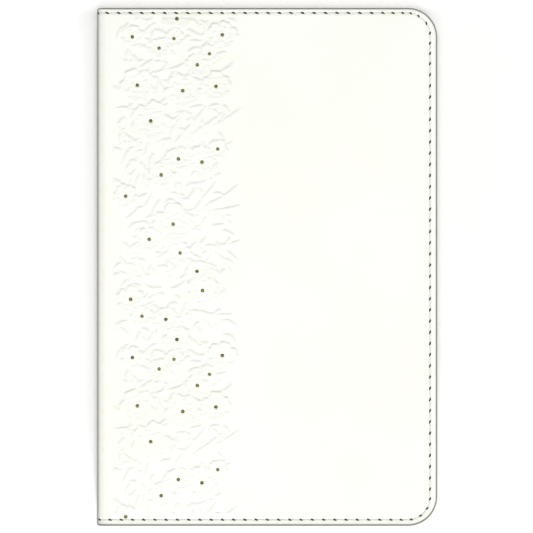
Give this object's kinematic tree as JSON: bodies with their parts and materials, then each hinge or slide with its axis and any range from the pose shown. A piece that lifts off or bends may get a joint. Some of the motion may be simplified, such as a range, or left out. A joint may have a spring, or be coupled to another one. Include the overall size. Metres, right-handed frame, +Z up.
{
  "type": "prayer book",
  "caption": "Closed pocket prayer book in a limp stitched ivory cover embossed with a band of flowers; opens at the middle and at both covers.",
  "frame": {"origin": "middle of the resting face of the closed book, which lies on its back cover", "axes": "+Z up through the front cover, +Y towards the head of the book, +X towards the fore-edge, so the spine is at -X"},
  "size_m": [0.117, 0.178, 0.024],
  "materials": {
    "imitation_leather": "smooth satin",
    "lining_paper": "matt",
    "cover_board": "matt",
    "page_paper": "matt, gilt at the edges",
    "gauze": "open weave",
    "seam_thread": "twisted thread",
    "linen_thread": "twisted thread",
    "band_silk": "silk over a cord"
  },
  "bodies": {
    "back_half": {"back_section_1": "page_paper", "back_section_2": "page_paper", "back_section_3": "page_paper", "back_section_4": "page_paper", "back_section_5": "page_paper", "back_spine_skin": "imitation_leather", "back_spine_inlay": "cover_board", "back_spine_gauze": "gauze", "back_sewing_thread": "linen_thread", "back_headband": "band_silk", "back_tailband": "band_silk", "back_spine_head_stitches": "seam_thread", "back_spine_tail_stitches": "seam_thread"},
    "front_half": {"front_section_1": "page_paper", "front_section_2": "page_paper", "front_section_3": "page_paper", "front_section_4": "page_paper", "front_section_5": "page_paper", "front_spine_skin": "imitation_leather", "front_spine_inlay": "cover_board", "front_spine_gauze": "gauze", "front_sewing_thread": "linen_thread", "front_headband": "band_silk", "front_tailband": "band_silk", "front_spine_head_stitches": "seam_thread", "front_spine_tail_stitches": "seam_thread"},
    "front_cover": {"front_cover_skin": "imitation_leather", "front_cover_board": "cover_board", "front_cover_lining": "lining_paper", "front_cover_outer_seam_thread": "seam_thread", "front_cover_inner_seam_thread": "seam_thread"},
    "back_cover": {"back_cover_skin": "imitation_leather", "back_cover_board": "cover_board", "back_cover_lining": "lining_paper", "back_cover_outer_seam_thread": "seam_thread", "back_cover_inner_seam_thread": "seam_thread"},
    "front_flyleaf": {"front_flyleaf": "lining_paper"},
    "back_flyleaf": {"back_flyleaf": "lining_paper"},
    "middle_leaf_1": {"middle_leaf_1": "page_paper"},
    "middle_leaf_2": {"middle_leaf_2": "page_paper"},
    "middle_leaf_3": {"middle_leaf_3": "page_paper"},
    "middle_leaf_4": {"middle_leaf_4": "page_paper"}
  },
  "joints": [
    {"name": "book_opening", "type": "hinge", "parent": "back_half", "child": "front_half", "pos_m": [-0.0588, 0, 0.012], "axis": [0, -1, 0], "range_deg": [0, 179]},
    {"name": "front_cover_hinge", "type": "hinge", "parent": "front_half", "child": "front_cover", "pos_m": [-0.0588, 0, 0.0243], "axis": [0, -1, 0], "range_deg": [0, 179]},
    {"name": "back_cover_hinge", "type": "hinge", "parent": "back_half", "child": "back_cover", "pos_m": [-0.0588, 0, -0.0003], "axis": [0, 1, 0], "range_deg": [0, 179]},
    {"name": "front_flyleaf_turn", "type": "hinge", "parent": "front_half", "child": "front_flyleaf", "pos_m": [-0.0588, 0, 0.0243], "axis": [0, -1, 0], "range_deg": [0, 176]},
    {"name": "back_flyleaf_turn", "type": "hinge", "parent": "back_half", "child": "back_flyleaf", "pos_m": [-0.0588, 0, -0.0003], "axis": [0, 1, 0], "range_deg": [0, 176]},
    {"name": "middle_leaf_1_turn", "type": "hinge", "parent": "back_half", "child": "middle_leaf_1", "pos_m": [-0.0588, 0, 0.012], "axis": [0, -1, 0], "range_deg": [0, 179]},
    {"name": "middle_leaf_2_turn", "type": "hinge", "parent": "back_half", "child": "middle_leaf_2", "pos_m": [-0.0588, 0, 0.012], "axis": [0, -1, 0], "range_deg": [0, 179]},
    {"name": "middle_leaf_3_turn", "type": "hinge", "parent": "back_half", "child": "middle_leaf_3", "pos_m": [-0.0588, 0, 0.012], "axis": [0, -1, 0], "range_deg": [0, 179]},
    {"name": "middle_leaf_4_turn", "type": "hinge", "parent": "back_half", "child": "middle_leaf_4", "pos_m": [-0.0588, 0, 0.012], "axis": [0, -1, 0], "range_deg": [0, 179]}
  ],
  "couplings": [
    {"joint": "front_flyleaf_turn", "follows": "front_cover_hinge", "ratio": 0.96},
    {"joint": "back_flyleaf_turn", "follows": "back_cover_hinge", "ratio": 0.96},
    {"joint": "middle_leaf_1_turn", "follows": "book_opening", "ratio": 0.96},
    {"joint": "middle_leaf_2_turn", "follows": "book_opening", "ratio": 0.9},
    {"joint": "middle_leaf_3_turn", "follows": "book_opening", "ratio": 0.1},
    {"joint": "middle_leaf_4_turn", "follows": "book_opening", "ratio": 0.04}
  ]
}
